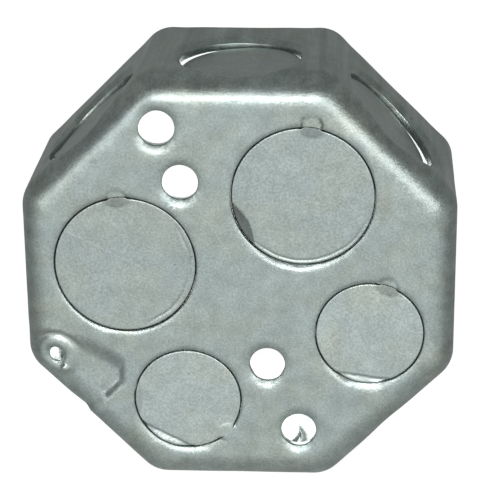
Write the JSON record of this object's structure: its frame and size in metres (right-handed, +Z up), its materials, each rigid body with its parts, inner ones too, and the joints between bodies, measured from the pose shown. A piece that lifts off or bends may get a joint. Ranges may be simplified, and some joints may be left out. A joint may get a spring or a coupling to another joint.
{
  "type": "electrical junction box",
  "caption": "Octagonal drawn steel ceiling or junction box with pry-out knockouts in its back and walls, a tapped ground hole, mounting holes and cover screws at its open front.",
  "frame": {"origin": "centre of the closed back face, on its outside", "axes": "+Y from the back face to the open front, +Z up through the middle of the top wall, +X to the right as the back face is looked at"},
  "size_m": [0.088, 0.0411, 0.088],
  "materials": {
    "shell_steel": "satin zinc plated sheet, fine speckle",
    "knockout_steel": "satin zinc plated sheet, fine speckle",
    "screw_steel": "bright zinc plated"
  },
  "bodies": {
    "box": {"box_shell": "shell_steel"},
    "back_knockout_large_left": {"back_knockout_large_left": "knockout_steel"},
    "back_knockout_large_right": {"back_knockout_large_right": "knockout_steel"},
    "back_knockout_small_left": {"back_knockout_small_left": "knockout_steel"},
    "back_knockout_small_right": {"back_knockout_small_right": "knockout_steel"},
    "side_knockout_top": {"side_knockout_top": "knockout_steel"},
    "side_knockout_upper_right": {"side_knockout_upper_right": "knockout_steel"},
    "side_knockout_upper_left": {"side_knockout_upper_left": "knockout_steel"},
    "side_knockout_bottom": {"side_knockout_bottom": "knockout_steel"},
    "side_knockout_lower_right": {"side_knockout_lower_right": "knockout_steel"},
    "side_knockout_lower_left": {"side_knockout_lower_left": "knockout_steel"},
    "cover_screw_left": {"cover_screw_left": "screw_steel"},
    "cover_screw_right": {"cover_screw_right": "screw_steel"}
  },
  "joints": [
    {"name": "back_knockout_large_left_bend", "type": "hinge", "parent": "box", "child": "back_knockout_large_left", "pos_m": [-0.02405, 0.0016, 0.01889], "axis": [0.996, 0, 0.0889], "range_deg": [0, 40]},
    {"name": "back_knockout_large_right_bend", "type": "hinge", "parent": "box", "child": "back_knockout_large_right", "pos_m": [0.01482, 0.0016, 0.03381], "axis": [0.9934, 0, -0.1149], "range_deg": [0, 15]},
    {"name": "back_knockout_small_left_bend", "type": "hinge", "parent": "box", "child": "back_knockout_small_left", "pos_m": [-0.00229, 0.0016, -0.03253], "axis": [-0.6665, 0, -0.7455], "range_deg": [0, 40]},
    {"name": "back_knockout_small_right_bend", "type": "hinge", "parent": "box", "child": "back_knockout_small_right", "pos_m": [0.03036, 0.0016, 0.00065], "axis": [0.9455, 0, -0.3256], "range_deg": [0, 40]},
    {"name": "side_knockout_top_bend", "type": "hinge", "parent": "box", "child": "side_knockout_top", "pos_m": [0.0123, 0.0169, 0.0424], "axis": [0, -1, 0], "range_deg": [0, 40]},
    {"name": "side_knockout_upper_right_bend", "type": "hinge", "parent": "box", "child": "side_knockout_upper_right", "pos_m": [0.02128, 0.0169, 0.03868], "axis": [0, 1, 0], "range_deg": [0, 40]},
    {"name": "side_knockout_upper_left_bend", "type": "hinge", "parent": "box", "child": "side_knockout_upper_left", "pos_m": [-0.03868, 0.0169, 0.02128], "axis": [0, 1, 0], "range_deg": [0, 40]},
    {"name": "side_knockout_bottom_bend", "type": "hinge", "parent": "box", "child": "side_knockout_bottom", "pos_m": [-0.0123, 0.0169, -0.0424], "axis": [0, -1, 0], "range_deg": [0, 35]},
    {"name": "side_knockout_lower_right_bend", "type": "hinge", "parent": "box", "child": "side_knockout_lower_right", "pos_m": [0.03868, 0.0169, -0.02128], "axis": [0, 1, 0], "range_deg": [0, 25]},
    {"name": "side_knockout_lower_left_bend", "type": "hinge", "parent": "box", "child": "side_knockout_lower_left", "pos_m": [-0.02128, 0.0169, -0.03868], "axis": [0, 1, 0], "range_deg": [0, 28]},
    {"name": "cover_screw_left_travel", "type": "slide", "parent": "box", "child": "cover_screw_left", "axis": [0, 1, 0], "range_m": [-0.0011, 0.008]},
    {"name": "cover_screw_right_travel", "type": "slide", "parent": "box", "child": "cover_screw_right", "axis": [0, 1, 0], "range_m": [-0.0011, 0.008]}
  ]
}
